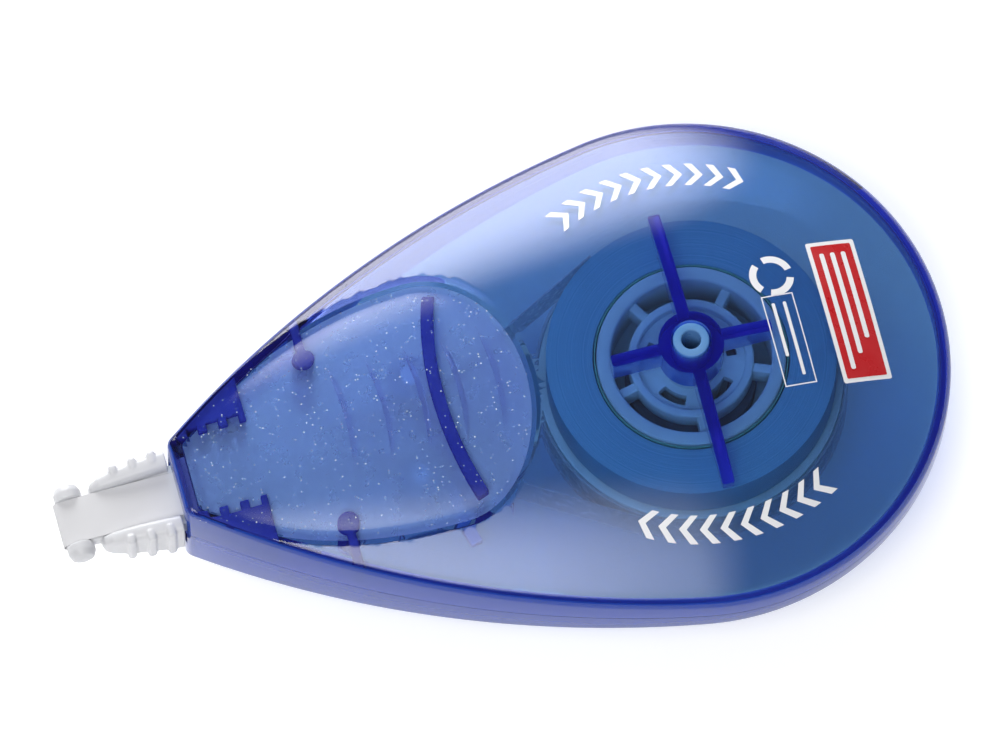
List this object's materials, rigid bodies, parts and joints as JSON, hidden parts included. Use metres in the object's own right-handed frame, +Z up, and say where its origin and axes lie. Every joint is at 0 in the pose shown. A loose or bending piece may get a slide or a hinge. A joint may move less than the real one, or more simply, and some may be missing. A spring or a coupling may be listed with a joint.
{
  "type": "correction tape roller",
  "caption": "Teardrop correction tape roller: translucent shells around coaxial supply and take-up reels, guide rollers, and a white applicator head that lays tape from its tip.",
  "frame": {"origin": "on the reel axis, in the flat face of the bottom shell that the roller rests on", "axes": "-X points along the body to the applicator tip, +Z up through the top shell, +Y across the body to the side where the new tape leaves its reel"},
  "size_m": [0.0947, 0.054, 0.0194],
  "materials": {
    "casing": "translucent blue, polished, with frosted grip recesses",
    "head": "white, satin",
    "reel": "natural translucent, satin",
    "tape": "white correction film",
    "carrier": "clear carrier film",
    "leader": "green end-of-tape leader",
    "clutch": "felt-like friction ring",
    "print": "pad-printed white marks",
    "print_accent": "pad-printed warm red field"
  },
  "bodies": {
    "casing": {"bottom_shell": "casing", "top_shell": "casing", "applicator_head": "head", "reel_axle": "reel", "tape_supply_run": "tape", "tape_feed_twist": "tape", "tape_tip_loop": "tape", "tape_return_twist": "carrier", "tape_takeup_run": "carrier"},
    "supply_reel": {"supply_core": "reel", "leader_band": "leader", "supply_tape": "tape"},
    "takeup_reel": {"takeup_drum": "reel", "takeup_tape": "carrier", "clutch_ring": "clutch"},
    "feed_roller": {"guide_roller_feed": "reel"},
    "return_roller": {"guide_roller_return": "reel"}
  },
  "joints": [
    {"name": "supply_spin", "type": "hinge", "parent": "casing", "child": "supply_reel", "pos_m": [0, 0, 0.0114], "axis": [0, 0, 1], "continuous": true},
    {"name": "takeup_spin", "type": "hinge", "parent": "casing", "child": "takeup_reel", "pos_m": [0, 0, 0.006], "axis": [0, 0, 1], "continuous": true},
    {"name": "feed_roller_spin", "type": "hinge", "parent": "casing", "child": "feed_roller", "pos_m": [-0.0287, 0.0051, 0.0114], "axis": [0, 0, 1], "continuous": true},
    {"name": "return_roller_spin", "type": "hinge", "parent": "casing", "child": "return_roller", "pos_m": [-0.0298, -0.0037, 0.006], "axis": [0, 0, 1], "continuous": true}
  ],
  "couplings": [
    {"joint": "takeup_spin", "follows": "supply_spin", "ratio": 0.926},
    {"joint": "feed_roller_spin", "follows": "supply_spin", "ratio": -6.25},
    {"joint": "return_roller_spin", "follows": "supply_spin", "ratio": -6.25}
  ]
}
